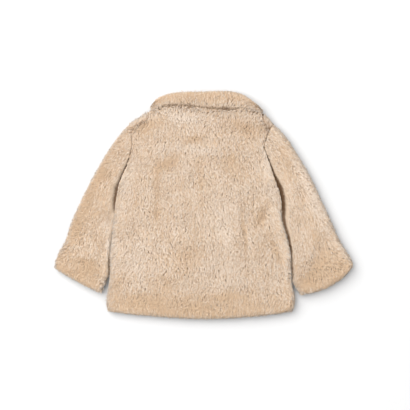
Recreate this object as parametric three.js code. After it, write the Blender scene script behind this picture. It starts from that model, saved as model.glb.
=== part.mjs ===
// A toddler's faux fur coat, laid flat on its front with its back up.
// Millimetres, +Z up, collar towards +Y, wearer's left towards -X.
// Every piece is fur fabric: a wall as thick as its backing and its pile, out to the tips of the fur.

import * as THREE from 'three';
import { mergeVertices } from 'three/addons/utils/BufferGeometryUtils.js';

// Fabric and the way its layers lie on each other.
const furThickness = 12.65;
const layerGap = 0.3;
const seamGap = 0.36;
const sideGap = 1.2;
const lowerInside = furThickness;
const upperInside = furThickness + layerGap;
const foldHeight = (lowerInside + upperInside) / 2;
const slitHalf = 0.25;

// How much the lofted back and sleeves stand above two plain layers.
const backLoft = 2.6;
const sleeveLoft = 1.2;
const collarRoll = 5.4;

// Radii over which the pile rounds down to a free edge, a sewn seam or a folded side.
const freeRadius = 12;
const sideRadius = 9;
const seamRadius = 8;
const centreRadius = 5;
const edgeLip = 0.05;

// Body: both side edges and armholes, from the hem corners up to the shoulder points.
const bodyEdges = [
  { y: -197, left: -170, right: 158 },
  { y: -187, left: -178, right: 165 },
  { y: -170, left: -181, right: 168 },
  { y: -145, left: -181, right: 167 },
  { y: -122, left: -178, right: 164 },
  { y: -89, left: -177, right: 162 },
  { y: -56, left: -173, right: 154 },
  { y: -26, left: -169, right: 146 },
  { y: -8, left: -167, right: 144 },
  { y: 8, left: -166, right: 143 },
  { y: 28, left: -162, right: 140 },
  { y: 50, left: -155, right: 131 },
  { y: 72, left: -147, right: 124 },
  { y: 92, left: -140, right: 118 },
  { y: 109, left: -135, right: 113 },
  { y: 130, left: -134, right: 118 },
  { y: 151, left: -137, right: 127 },
];
const underarmY = -8;
const sleevePartsY = -145;

// Hem, from left to right, and the shoulders with the neck seam between them.
const hemLine = [
  { x: -170, y: -197 },
  { x: -118, y: -203 },
  { x: -6, y: -210.5 },
  { x: 104, y: -204.5 },
  { x: 158, y: -197 },
];
const shoulderAndNeckLine = [
  { x: -137, y: 151 },
  { x: -119, y: 162 },
  { x: -100, y: 172 },
  { x: -76, y: 181 },
  { x: -40, y: 183 },
  { x: 4, y: 179 },
  { x: 44, y: 177 },
  { x: 82, y: 178 },
  { x: 106, y: 170 },
  { x: 127, y: 151 },
];
const neckFrom = 0.155;
const neckTo = 0.9;
const centreGapShare = 0.002;
const collarGapShare = 0.004;

// Collar: its top edge from the left side fold to the right one.
const collarTopLine = [
  { x: -98, y: 182 },
  { x: -85, y: 197 },
  { x: -58, y: 207 },
  { x: 0, y: 209.8 },
  { x: 44, y: 210 },
  { x: 70, y: 205 },
  { x: 92, y: 190 },
  { x: 108, y: 175 },
];

// Sleeves: the outer folded edge from the shoulder point to the cuff.
const sleeveOuterEdges = [
  { y: 151, left: -137, right: 127 },
  { y: 130, left: -156, right: 148 },
  { y: 94, left: -181, right: 172 },
  { y: 50, left: -206, right: 198 },
  { y: 6, left: -228, right: 218 },
  { y: -39, left: -248, right: 239 },
  { y: -66, left: -256, right: 251 },
  { y: -88, left: -269, right: 265 },
  { y: -108, left: -275.4, right: 275.5 },
];
const cuffs = {
  left: { inner: { x: -192, y: -161 }, outer: { x: -275.5, y: -117 }, bow: 2 },
  right: { inner: { x: 174, y: -158 }, outer: { x: 273.5, y: -117 }, bow: 11 },
};

// Height that is left where back and sleeve are sewn together, as a share of the pile.
const armholeLips = {
  left: { underarm: 0.16, shoulder: 0.8 },
  right: { underarm: 0.12, shoulder: 0.62 },
};
const neckLip = 0.22;
const collarLip = 0.2;
const undersideLip = 0.6;

// The largest folds: each is a soft trough along a line, or a soft ridge if its depth is negative.
const folds = [
  { piece: 'back', x1: -79, y1: 28, x2: -87, y2: -26, width: 11, depth: 3.4 },
  { piece: 'back', x1: 6, y1: 14, x2: 68, y2: -11, width: 13, depth: 2.2 },
  { piece: 'back', x1: 68, y1: -11, x2: 80, y2: -106, width: 11, depth: 4.2 },
  { piece: 'back', x1: 80, y1: -106, x2: 87, y2: -170, width: 14, depth: 2.0 },
  { piece: 'back', x1: 115, y1: 12, x2: 102, y2: -43, width: 10, depth: 3.6 },
  { piece: 'back', x1: 102, y1: -50, x2: 138, y2: -100, width: 12, depth: 4.0 },
  { piece: 'back', x1: -92, y1: 70, x2: -44, y2: 88, width: 14, depth: 2.6 },
  { piece: 'back', x1: 92, y1: 123, x2: 112, y2: 110, width: 8, depth: 3.6 },
  { piece: 'back', x1: -166, y1: -68, x2: -108, y2: -50, width: 15, depth: 2.8 },
  { piece: 'back', x1: -140, y1: -166, x2: 150, y2: -164, width: 13, depth: 1.8 },
  { piece: 'back', x1: 94, y1: -10, x2: 92, y2: -90, width: 13, depth: -2.2 },
  { piece: 'back', x1: -120, y1: 20, x2: -130, y2: -30, width: 22, depth: -1.6 },
  { piece: 'sleeve_left', x1: -203, y1: 12, x2: -172, y2: -34, width: 10, depth: 2.8 },
  { piece: 'sleeve_left', x1: -221, y1: -46, x2: -186, y2: -84, width: 11, depth: 3.2 },
  { piece: 'sleeve_right', x1: 176, y1: 66, x2: 190, y2: -40, width: 11, depth: 2.6 },
  { piece: 'sleeve_right', x1: 228, y1: -66, x2: 198, y2: -130, width: 12, depth: 3.4 },
];

// How finely each form is divided.
const backColumns = 38;
const frontColumns = 12;
const hemRows = 17;
const armholeSteps = 18;
const sleeveRows = 26;
const collarColumns = 30;
const collarRows = 10;
const insideEvery = 4;
const crowdedMargin = 4;
const slitEndMargin = 2;
const slitMargin = 5;

const furColours = {
  back: 0xddc4ac,
  front_left: 0xd8bfa6,
  front_right: 0xd8bfa6,
  sleeve_left: 0xd9c2ab,
  sleeve_right: 0xd7c1ad,
  collar: 0xd7bda3,
};

const clamp01 = (value) => Math.min(Math.max(value, 0), 1);

/** Shares from 0 to 1 that crowd together at both ends. */
const crowdedAtEnds = (steps) => [...Array(steps + 1).keys()].map((i) => (1 - Math.cos((Math.PI * i) / steps)) / 2);

/** Shares from 0 to 1 that crowd together at 0. */
const crowdedAtStart = (steps) => [...Array(steps + 1).keys()].map((i) => 1 - Math.cos((Math.PI * i) / (2 * steps)));

/** A smooth plan curve through points, read by its share of length. */
function planCurve(points) {
  const curve = new THREE.CatmullRomCurve3(points.map((p) => new THREE.Vector3(p.x, p.y, 0)), false, 'centripetal');
  curve.arcLengthDivisions = 400;
  return (share) => curve.getPointAt(clamp01(share));
}

/** The plan of a panel, filled in between its four edges. u runs across and v along. */
function filledPlan(start, end, near, far) {
  const corner = { a: start(0), b: start(1), c: end(0), d: end(1) };
  return (u, v) => {
    const along = near(v).multiplyScalar(1 - u).addScaledVector(far(v), u);
    const across = start(u).multiplyScalar(1 - v).addScaledVector(end(u), v);
    return along
      .add(across)
      .addScaledVector(corner.a, -(1 - u) * (1 - v))
      .addScaledVector(corner.b, -u * (1 - v))
      .addScaledVector(corner.c, -(1 - u) * v)
      .addScaledVector(corner.d, -u * v);
  };
}

/** The share of full height at a distance from an edge, rounding up from its lip. */
function rounded(distance, radius, lip) {
  const reach = clamp01(distance / radius);
  return lip + (1 - lip) * Math.sqrt(1 - (1 - reach) ** 2);
}

/** The depth of all folds of a piece at a place. */
function foldDepth(piece, place) {
  let depth = 0;
  for (const fold of folds) {
    if (fold.piece !== piece) continue;
    const from = new THREE.Vector2(fold.x1, fold.y1);
    const run = new THREE.Vector2(fold.x2, fold.y2).sub(from);
    const here = new THREE.Vector2(place.x, place.y).sub(from);
    const share = clamp01(here.dot(run) / run.lengthSq());
    const away = here.addScaledVector(run, -share).length() / fold.width;
    depth += fold.depth * Math.exp(-away * away);
  }
  return depth;
}

/** Fills the strip between two rows of points with triangles, whatever their numbers of points. */
function stitch(first, second, triangles) {
  const shares = (row) => {
    const reach = [0];
    for (let i = 1; i < row.length; i++) reach.push(reach[i - 1] + row[i].distanceTo(row[i - 1]));
    return reach.map((length) => length / reach.at(-1));
  };
  const a = shares(first);
  const b = shares(second);
  let i = 0;
  let j = 0;
  while (i < first.length - 1 || j < second.length - 1) {
    const stepFirst = j === second.length - 1 || (i < first.length - 1 && a[i + 1] <= b[j + 1]);
    if (stepFirst) {
      triangles.push(first[i], first[i + 1], second[j]);
      i += 1;
    } else {
      triangles.push(first[i], second[j + 1], second[j]);
      j += 1;
    }
  }
}

/** Closes an outside and an inside sheet, each a list of rows, into one wall. */
function wall(outside, inside, isTube) {
  const triangles = [];
  const column = (rows, index) => rows.map((row) => row.at(index));
  for (let i = 0; i < outside.length - 1; i++) stitch(outside[i], outside[i + 1], triangles);
  for (let i = 0; i < inside.length - 1; i++) stitch(inside[i + 1], inside[i], triangles);
  stitch(inside[0], outside[0], triangles);
  stitch(outside.at(-1), inside.at(-1), triangles);
  if (!isTube) {
    stitch(column(outside, 0), column(inside, 0), triangles);
    stitch(column(inside, -1), column(outside, -1), triangles);
  }
  return facingOut(triangles);
}

/** Makes triangles a geometry whose faces point out. */
function facingOut(triangles) {
  let volume = 0;
  for (let i = 0; i < triangles.length; i += 3) {
    const [a, b, c] = triangles.slice(i, i + 3);
    volume += a.dot(new THREE.Vector3().crossVectors(b, c));
  }
  const points = volume < 0 ? triangles.toReversed() : triangles;
  return mergeVertices(new THREE.BufferGeometry().setFromPoints(points), 1e-3);
}

/** Keeps whole first and last rows, and a few points of the rows between, clear of the crowded edges. */
function thinned(rows, margin) {
  const last = rows.length - 1;
  const kept = rows.filter((row, i) => i === 0 || i === last || (i >= margin && i <= last - margin));
  return kept.map((row, i) => {
    const end = row.length - 1;
    const every = i === 0 || i === kept.length - 1 ? 1 : insideEvery;
    return row.filter((p, j) => j === 0 || j === end || (j >= margin && j <= end - margin && j % every === 0));
  });
}

const bodyEdge = {};
const armhole = {};
for (const side of ['left', 'right']) {
  const points = bodyEdges.map((row) => ({ x: row[side], y: row.y }));
  bodyEdge[side] = planCurve(points.filter((p) => p.y <= underarmY));
  armhole[side] = planCurve(points.filter((p) => p.y >= underarmY));
}
const hem = planCurve(hemLine);
const shoulderAndNeck = planCurve(shoulderAndNeckLine);
const onNeck = (share) => share > neckFrom && share < neckTo;
const inwards = { left: 1, right: -1 };

// Rows of the body: from the hem to the underarm, and then with the steps of the armhole.
const underarmShare = 0.54;
const bodyRows = [
  ...crowdedAtStart(hemRows).map((share) => share * underarmShare),
  ...crowdedAtEnds(armholeSteps).slice(1).map((share) => underarmShare + share * (1 - underarmShare)),
];

/** A body panel's side: its free side edge, and above that its armhole, half a gap inside the seam. */
function bodySide(side) {
  return (v) => {
    if (v <= underarmShare) return bodyEdge[side](v / underarmShare);
    const place = armhole[side]((v - underarmShare) / (1 - underarmShare));
    place.x += (inwards[side] * seamGap) / 2;
    return place;
  };
}

/** The lip of a body or sleeve edge at the armhole, by its share from underarm to shoulder. */
function armholeLip(side, share) {
  const lips = armholeLips[side];
  return lips.underarm + (lips.shoulder - lips.underarm) * clamp01(share) ** 1.3;
}

/** A body side's rounding at a share of its length. */
function sideShape(side, v) {
  if (v <= underarmShare) return { radius: sideRadius, lip: edgeLip };
  const share = (v - underarmShare) / (1 - underarmShare);
  return { radius: seamRadius, lip: Math.max(edgeLip, armholeLip(side, share)) };
}

/** The back: one panel whose pile stands up, sewn to both sleeves and the collar. */
function backGeometry() {
  const left = bodySide('left');
  const right = bodySide('right');
  const plan = filledPlan(hem, shoulderAndNeck, left, right);
  const columns = crowdedAtEnds(backColumns);
  const inside = [];
  const outside = [];
  for (const v of bodyRows) {
    const lower = [];
    const upper = [];
    for (const u of columns) {
      const place = plan(u, v);
      const topShape = onNeck(u) ? { radius: seamRadius, lip: neckLip } : { radius: freeRadius, lip: edgeLip };
      const leftShape = sideShape('left', v);
      const rightShape = sideShape('right', v);
      const share =
        rounded(place.distanceTo(plan(0, v)), leftShape.radius, leftShape.lip) *
        rounded(place.distanceTo(plan(1, v)), rightShape.radius, rightShape.lip) *
        rounded(place.distanceTo(plan(u, 0)), freeRadius, edgeLip) *
        rounded(place.distanceTo(plan(u, 1)), topShape.radius, topShape.lip);
      const loft = backLoft * Math.sin(Math.PI * u) * Math.sin(Math.PI * v) ** 0.5;
      const height = (furThickness + loft - foldDepth('back', place)) * share;
      lower.push(new THREE.Vector3(place.x, place.y, upperInside));
      upper.push(new THREE.Vector3(place.x, place.y, upperInside + height));
    }
    inside.push(lower);
    outside.push(upper);
  }
  return wall(outside, thinned(inside, crowdedMargin), false);
}

/** One front: a panel under the back, flat where it rests, from its side to the centre front. */
function frontGeometry(side) {
  const outerEdge = bodySide(side);
  const sideShare = side === 'left' ? 0 : 1;
  const centreShare = side === 'left' ? 0.5 - centreGapShare / 2 : 0.5 + centreGapShare / 2;
  const toBody = (u) => sideShare + (centreShare - sideShare) * u;
  const hemPart = (u) => hem(toBody(u));
  const topPart = (u) => shoulderAndNeck(toBody(u));
  const centreEdge = (v) => hemPart(1).lerp(topPart(1), v);
  const plan = filledPlan(hemPart, topPart, outerEdge, centreEdge);
  const inside = [];
  const outside = [];
  for (const v of bodyRows) {
    const upper = [];
    const lower = [];
    for (const u of crowdedAtEnds(frontColumns)) {
      const place = plan(u, v);
      const share =
        rounded(place.distanceTo(plan(0, v)), sideRadius, v > underarmShare ? undersideLip : edgeLip) *
        rounded(place.distanceTo(plan(1, v)), centreRadius, edgeLip) *
        rounded(place.distanceTo(plan(u, 0)), freeRadius, edgeLip) *
        rounded(place.distanceTo(plan(u, 1)), seamRadius, onNeck(toBody(u)) ? undersideLip : edgeLip);
      upper.push(place.clone().setZ(lowerInside));
      lower.push(place.clone().setZ(lowerInside - furThickness * share));
    }
    inside.push(upper);
    outside.push(lower);
  }
  return wall(outside, thinned(inside, crowdedMargin), false);
}

/** The slit between the two layers of a flattened tube, across the plan at v. */
function slitPoints(plan, columns, v, below, above) {
  const lower = columns.map((u) => plan(u, v).setZ(below));
  const upper = columns.map((u) => plan(u, v).setZ(above)).reverse();
  return [...lower, ...upper, lower[0]];
}

/** Keeps the two end rows and the rows clear of them. */
const clearRows = (rows) => rows.filter((v, i) => {
  const fromEnd = Math.min(i, rows.length - 1 - i);
  return fromEnd === 0 || fromEnd >= crowdedMargin;
});

/** A sleeve: a flattened tube from the armhole to the cuff, u from its underarm seam to its outer fold. */
function sleeveGeometry(side) {
  const outwards = -inwards[side];
  const cuff = cuffs[side];
  const shifted = (row, distance) => ({ x: row[side] + outwards * distance, y: row.y });
  const alongBody = bodyEdges.filter((row) => row.y >= sleevePartsY && row.y < underarmY).reverse();
  const underarm = shifted(bodyEdges.find((row) => row.y === underarmY), seamGap / 2);
  const innerEdge = planCurve([underarm, ...alongBody.map((row) => shifted(row, sideGap)), cuff.inner]);
  const outerEdge = planCurve([...sleeveOuterEdges.map((row) => shifted(row, 0)), cuff.outer]);
  const armholeEdge = (u) => {
    const place = armhole[side](u);
    place.x += (outwards * seamGap) / 2;
    return place;
  };
  const cuffEdge = (u) => {
    const from = new THREE.Vector3(cuff.inner.x, cuff.inner.y, 0);
    const run = new THREE.Vector3(cuff.outer.x, cuff.outer.y, 0).sub(from);
    const down = new THREE.Vector3(run.y, -run.x, 0).normalize().multiplyScalar(-outwards);
    return from.addScaledVector(run, u).addScaledVector(down, -4 * cuff.bow * u * (1 - u));
  };
  const plan = filledPlan(armholeEdge, cuffEdge, innerEdge, outerEdge);
  const columns = crowdedAtEnds(armholeSteps);
  const rows = crowdedAtEnds(sleeveRows);
  const outside = rows.map((v) => {
    const lower = [];
    const upper = [];
    for (const u of columns) {
      const place = plan(u, v);
      const sides =
        rounded(place.distanceTo(plan(0, v)), sideRadius, 0) * rounded(place.distanceTo(plan(1, v)), freeRadius, 0);
      const cuffShare = rounded(place.distanceTo(plan(u, 1)), freeRadius, edgeLip);
      const fromSeam = place.distanceTo(plan(u, 0));
      const below = sides * cuffShare * rounded(fromSeam, seamRadius, undersideLip);
      const above = sides * cuffShare * rounded(fromSeam, seamRadius, armholeLip(side, u));
      const loft = sleeveLoft * Math.sin(Math.PI * u);
      const top = upperInside + furThickness + loft - foldDepth(`sleeve_${side}`, place);
      lower.push(place.clone().setZ(foldHeight - foldHeight * below));
      upper.push(place.clone().setZ(foldHeight + (top - foldHeight) * above));
    }
    return [...lower, ...upper.slice(1, -1).reverse(), lower[0]];
  });
  const wideSlit = columns.slice(slitEndMargin, -slitEndMargin);
  const plainSlit = [columns.at(slitMargin), 0.5, columns.at(-1 - slitMargin)];
  const inside = clearRows(rows).map((v) => {
    const isEnd = v === rows[0] || v === rows.at(-1);
    return slitPoints(plan, isEnd ? wideSlit : plainSlit, v, foldHeight - slitHalf, foldHeight + slitHalf);
  });
  return wall(outside, inside, true);
}

/** The collar: a band that is flattened like the body, its ends meeting at the centre front below. */
function collarGeometry() {
  const neckEdge = (u) => {
    const place = shoulderAndNeck(neckFrom + (neckTo - neckFrom) * u);
    place.y += seamGap;
    return place;
  };
  const topEdge = planCurve(collarTopLine);
  const straight = (from, to) => (v) => from.clone().lerp(to, v);
  const plan = filledPlan(neckEdge, topEdge, straight(neckEdge(0), topEdge(0)), straight(neckEdge(1), topEdge(1)));
  const columns = crowdedAtEnds(collarColumns);
  const half = collarColumns / 2;
  const centre = { left: 0.5 - collarGapShare / 2, right: 0.5 + collarGapShare / 2 };
  const leftBelow = [centre.left, ...columns.slice(1, half).reverse()];
  const rightBelow = [...columns.slice(half + 1, -1), centre.right].sort((a, b) => b - a);
  const rows = crowdedAtEnds(collarRows);
  const across = (u, v, place) =>
    rounded(place.distanceTo(plan(0, v)), freeRadius, 0) * rounded(place.distanceTo(plan(1, v)), freeRadius, 0);
  const lower = (u, v) => {
    const place = plan(u, v);
    const share =
      across(u, v, place) *
      rounded(place.distanceTo(plan(u < 0.5 ? centre.left : centre.right, v)), centreRadius, edgeLip) *
      rounded(place.distanceTo(plan(u, 0)), seamRadius, undersideLip) *
      rounded(place.distanceTo(plan(u, 1)), freeRadius, edgeLip);
    return place.setZ(foldHeight - foldHeight * share);
  };
  const upper = (u, v) => {
    const place = plan(u, v);
    const share =
      across(u, v, place) *
      rounded(place.distanceTo(plan(u, 0)), seamRadius, collarLip) *
      rounded(place.distanceTo(plan(u, 1)), freeRadius, edgeLip);
    return place.setZ(foldHeight + (upperInside + furThickness + collarRoll - foldHeight) * share);
  };
  const outside = rows.map((v) => [
    ...leftBelow.map((u) => lower(u, v)),
    ...columns.map((u) => upper(u, v)),
    ...rightBelow.map((u) => lower(u, v)),
  ]);
  const slit = columns.slice(slitEndMargin, -slitEndMargin);
  const leftSlit = [centre.left, ...slit.filter((u) => u < centre.left).reverse()];
  const rightSlit = [...slit.filter((u) => u > centre.right).reverse(), centre.right];
  const inside = [rows[0], rows.at(-1)].map((v) => [
    ...leftSlit.map((u) => plan(u, v).setZ(foldHeight - slitHalf)),
    ...slit.map((u) => plan(u, v).setZ(foldHeight + slitHalf)),
    ...rightSlit.map((u) => plan(u, v).setZ(foldHeight - slitHalf)),
  ]);
  return wall(outside, inside, false);
}

const coat = new THREE.Group();
coat.name = 'faux_fur_coat';

const pieces = {
  back: backGeometry(),
  front_left: frontGeometry('left'),
  front_right: frontGeometry('right'),
  sleeve_left: sleeveGeometry('left'),
  sleeve_right: sleeveGeometry('right'),
  collar: collarGeometry(),
};

for (const [name, geometry] of Object.entries(pieces)) {
  geometry.computeVertexNormals();
  const fur = new THREE.MeshStandardMaterial({ color: furColours[name], roughness: 0.95, metalness: 0 });
  const mesh = new THREE.Mesh(geometry, fur);
  mesh.name = name;
  coat.add(mesh);
}

export default coat;
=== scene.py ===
"""A toddler's faux fur coat, laid flat on its front with its back up: cloth, pile, light and camera.

Outlines and folds are in millimetres, as on a paper pattern. Settings and meshes are in metres.
"""

import math
from collections import namedtuple

import bpy
import numpy as np
from bpy.props import FloatProperty, FloatVectorProperty, IntProperty, PointerProperty
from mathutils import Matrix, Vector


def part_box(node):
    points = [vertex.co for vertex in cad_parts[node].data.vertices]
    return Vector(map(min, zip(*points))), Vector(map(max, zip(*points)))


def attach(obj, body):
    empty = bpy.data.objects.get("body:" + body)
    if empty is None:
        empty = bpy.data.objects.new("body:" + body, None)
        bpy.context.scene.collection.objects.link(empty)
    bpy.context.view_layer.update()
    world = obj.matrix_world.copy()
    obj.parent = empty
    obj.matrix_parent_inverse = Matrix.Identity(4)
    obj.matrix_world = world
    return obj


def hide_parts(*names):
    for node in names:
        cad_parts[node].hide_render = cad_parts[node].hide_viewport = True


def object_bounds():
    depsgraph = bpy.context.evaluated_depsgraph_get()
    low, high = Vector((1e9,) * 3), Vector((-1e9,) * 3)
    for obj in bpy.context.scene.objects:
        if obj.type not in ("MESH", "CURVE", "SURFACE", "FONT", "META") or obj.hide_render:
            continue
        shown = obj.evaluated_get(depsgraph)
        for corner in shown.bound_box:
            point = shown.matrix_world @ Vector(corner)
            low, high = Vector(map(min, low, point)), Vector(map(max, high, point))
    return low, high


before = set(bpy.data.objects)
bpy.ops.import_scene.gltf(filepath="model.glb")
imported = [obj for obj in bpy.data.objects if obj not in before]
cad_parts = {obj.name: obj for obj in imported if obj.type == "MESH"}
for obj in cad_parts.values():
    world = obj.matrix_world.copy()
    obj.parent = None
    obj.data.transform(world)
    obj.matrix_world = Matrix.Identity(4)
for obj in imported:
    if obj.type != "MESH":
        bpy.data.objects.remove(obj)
CAD_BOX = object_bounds()

bl_info = {
    "name": "Faux fur coat",
    "version": (1, 0, 0),
    "blender": (4, 5, 0),
    "location": "View3D > Sidebar > Fur coat",
    "description": "Builds a small faux fur coat that lies flat with its back up",
    "category": "Object",
}

MM = 0.001
BODY = "root"

# Heights of the layers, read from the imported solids.
LOWER_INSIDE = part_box("front_left")[1][2] / MM
UPPER_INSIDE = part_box("back")[0][2] / MM
FUR_THICKNESS = LOWER_INSIDE
FOLD_HEIGHT = (LOWER_INSIDE + UPPER_INSIDE) / 2

# How the two faces stand off each other, and how the pile rounds down to its edges.
SEAM_GAP = 0.36
SIDE_GAP = 1.2
BACK_LOFT = 2.6
SLEEVE_LOFT = 1.2
COLLAR_ROLL = 5.4
FREE_RADIUS = 12
SIDE_RADIUS = 9
BODY_SIDE_RADIUS = 6
SEAM_RADIUS = 8
CENTRE_RADIUS = 5
EDGE_LIP = 0.05
NECK_LIP = 0.86
COLLAR_LIP = 0.75
COLLAR_END_LIP = 0.5
COLLAR_END_FROM = 0.32
COLLAR_END_FADE = 0.14
UNDERSIDE_LIP = 0.6
TUCKED_LIP = 0.5
TUCKED_TO = 0.6
TUCKED_FADE = 0.3
LIP_RISE_SHARE = 0.75
DIP_DEPTH = 0.94
DIP_LOW_SHARE = 0.35
DIP_RISE_SHARE = 0.75
DIP_RISE = 1
COLLAR_SEAM_RADIUS = 13
CLOTH_LIP_SHARE = 0.5
LEAST_CLOTH_RISE = 1.0
INSET_REACH = 26
INSET_SHARE = 0.3

BodyRow = namedtuple("BodyRow", "y left right")
Point = namedtuple("Point", "x y")
Cuff = namedtuple("Cuff", "parting inner outer bow")
Lips = namedtuple("Lips", "underarm shoulder")
Fold = namedtuple("Fold", "piece x1 y1 x2 y2 width depth")
Patch = namedtuple("Patch", "x y across along turn tone")
Edge = namedtuple("Edge", "radius lip inset")
Fit = namedtuple("Fit", "depth pressed inset")
Crevice = namedtuple("Crevice", "y width depth")
Dip = namedtuple("Dip", "x width depth")
Wave = namedtuple("Wave", "share scale seed")
Unevenness = namedtuple("Unevenness", "angle lean height tone")
Clumps = namedtuple("Clumps", "across along angle lean height tone")
Feet = namedtuple("Feet", "owner spread width across along")
Tufts = namedtuple("Tufts", "roots middles tips normals half_width roll tone deep")

# Body: both side edges and armholes, from the hem corners up to the shoulder points.
BODY_EDGES = [
    BodyRow(-197, -175.5, 162),
    BodyRow(-187, -180, 167),
    BodyRow(-170, -179.5, 168),
    BodyRow(-145, -176, 163),
    BodyRow(-122, -173.5, 161),
    BodyRow(-89, -174, 160),
    BodyRow(-56, -171, 152),
    BodyRow(-26, -167, 143.5),
    BodyRow(-8, -163.5, 142),
    BodyRow(8, -161, 141),
    BodyRow(28, -157.5, 137),
    BodyRow(50, -151.5, 128),
    BodyRow(72, -142, 121),
    BodyRow(92, -135.5, 114.5),
    BodyRow(109, -132, 110),
    BodyRow(130, -132.5, 116.5),
    BodyRow(151, -137, 127),
]
UNDERARM_Y = -8
SLEEVE_PARTS_Y = -125
UNDERARM_SHARE = 0.54
BESIDE_SLEEVE_FROM = 0.16
PAST_END = 2

# Hem, from left to right, and the shoulders with the neck seam between them.
HEM_LINE = [
    Point(-175.5, -197),
    Point(-118, -203.5),
    Point(-6, -210.5),
    Point(104, -205),
    Point(162, -197),
]
SHOULDER_AND_NECK_LINE = [
    Point(-137, 151),
    Point(-119, 162),
    Point(-100, 172),
    Point(-76, 180.5),
    Point(-40, 182),
    Point(4, 177.5),
    Point(44, 174.5),
    Point(82, 176),
    Point(106, 170),
    Point(127, 151),
]
HEM_Y = min(point.y for point in HEM_LINE)
NECK_Y = max(point.y for point in SHOULDER_AND_NECK_LINE)
NECK_FROM = 0.155
NECK_TO = 0.9
NECK_MARGIN = 0.02
CENTRE_GAP_SHARE = 0.002
COLLAR_GAP_SHARE = 0.004

# Collar: its top edge from the left side fold to the right one.
COLLAR_TOP_LINE = [
    Point(-98, 182),
    Point(-85, 197),
    Point(-58, 207),
    Point(0, 209.8),
    Point(44, 210),
    Point(70, 205),
    Point(92, 190),
    Point(108, 175),
]

# Sleeves: the outer folded edge from the shoulder point to the cuff.
SLEEVE_OUTER_EDGES = [
    BodyRow(151, -137, 127),
    BodyRow(130, -156, 148),
    BodyRow(94, -181, 172),
    BodyRow(50, -206, 198),
    BodyRow(6, -228, 218),
    BodyRow(-39, -248, 239),
    BodyRow(-66, -256, 251),
    BodyRow(-88, -269, 265),
    BodyRow(-108, -275.4, 275.5),
]
CUFFS = {
    "left": Cuff(Point(-182.5, -145), Point(-191.5, -163), Point(-275.5, -117), 2),
    "right": Cuff(Point(166, -147), Point(180, -166), Point(273.5, -117), 11),
}

# Height left at the seam of the armhole, as a share of the pile.
BACK_LIPS = {"left": Lips(0.84, 0.98), "right": Lips(0.8, 0.96)}
SLEEVE_LIPS = {"left": Lips(0.9, 0.98), "right": Lips(0.9, 0.96)}

# The body's edge lies on each sleeve, whose pile stays down beside it: how wide, and how far down from 0 to
# 1.
# How far down also sets how much painted crevice shade the pile there takes.
CREVICES = {
    "left": [
        Crevice(-150, 0, 0),
        Crevice(-139, 4, 0.55),
        Crevice(-120, 5.5, 0.6),
        Crevice(-102, 5, 0.55),
        Crevice(-83, 2, 0.1),
        Crevice(-65, 4, 0.2),
        Crevice(-46, 7, 0.22),
        Crevice(-28, 2, 0.05),
        Crevice(-9, 9, 0.7),
        Crevice(9, 13, 0.78),
        Crevice(28, 14, 0.78),
        Crevice(46, 8.5, 0.72),
        Crevice(65, 6.5, 0.9),
        Crevice(83, 5.5, 0.72),
        Crevice(102, 5.5, 0.42),
        Crevice(120, 4, 0.25),
        Crevice(139, 0, 0),
    ],
    "right": [
        Crevice(-150, 0, 0),
        Crevice(-139, 3, 0.5),
        Crevice(-120, 6, 0.58),
        Crevice(-102, 4.5, 0.6),
        Crevice(-83, 6, 0.75),
        Crevice(-65, 8.5, 0.8),
        Crevice(-46, 9, 0.72),
        Crevice(-28, 11, 0.74),
        Crevice(-9, 15, 0.97),
        Crevice(9, 16, 1),
        Crevice(28, 15, 1),
        Crevice(46, 12, 1),
        Crevice(65, 9, 0.95),
        Crevice(83, 7.5, 0.95),
        Crevice(102, 4.5, 0.6),
        Crevice(120, 3, 0.25),
        Crevice(139, 1.5, 0.1),
        Crevice(148, 0, 0),
    ],
}

# The same along the neck seam, where the back's edge lies on the collar; the collar's pile there also takes
# painted crevice shade.
NECK_CREVICE = [
    Dip(-88, 0, 0),
    Dip(-74, 8, 0.42),
    Dip(-59, 9, 0.44),
    Dip(-44, 9, 0.42),
    Dip(-30, 9, 0.4),
    Dip(-15, 9, 0.36),
    Dip(0, 9.5, 0.33),
    Dip(15, 10, 0.36),
    Dip(30, 11, 0.44),
    Dip(44, 11, 0.56),
    Dip(59, 10, 0.4),
    Dip(74, 7, 0.1),
    Dip(84, 0, 0),
]

# Folds: each is a soft trough along a line, or a soft ridge if its depth is negative.
FOLDS = [
    Fold("back", -81, 46, -86, -24, 7, 3.4),
    Fold("back", 6, 14, 68, -11, 11, 2.0),
    Fold("back", 72, -9, 81, -100, 6.5, 4.2),
    Fold("back", 80, -106, 90, -165, 11, 2.2),
    Fold("back", 122, -2, 103, -34, 7, 3.8),
    Fold("back", 97, -46, 141, -103, 8, 4.0),
    Fold("back", -92, 70, -44, 88, 14, 2.6),
    Fold("back", 93, 121, 108, 109.5, 3.2, 6),
    Fold("back", -166, -68, -108, -50, 15, 2.8),
    Fold("back", -140, -166, 150, -164, 13, 1.8),
    Fold("back", 94, -10, 92, -90, 13, -2.2),
    Fold("back", -120, 20, -130, -30, 22, -1.6),
    Fold("sleeve_left", -203, 12, -172, -34, 10, 2.8),
    Fold("sleeve_left", -221, -46, -186, -84, 11, 3.2),
    Fold("sleeve_right", 176, 66, 190, -40, 11, 2.6),
    Fold("sleeve_right", 228, -66, 198, -130, 12, 3.4),
]
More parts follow.
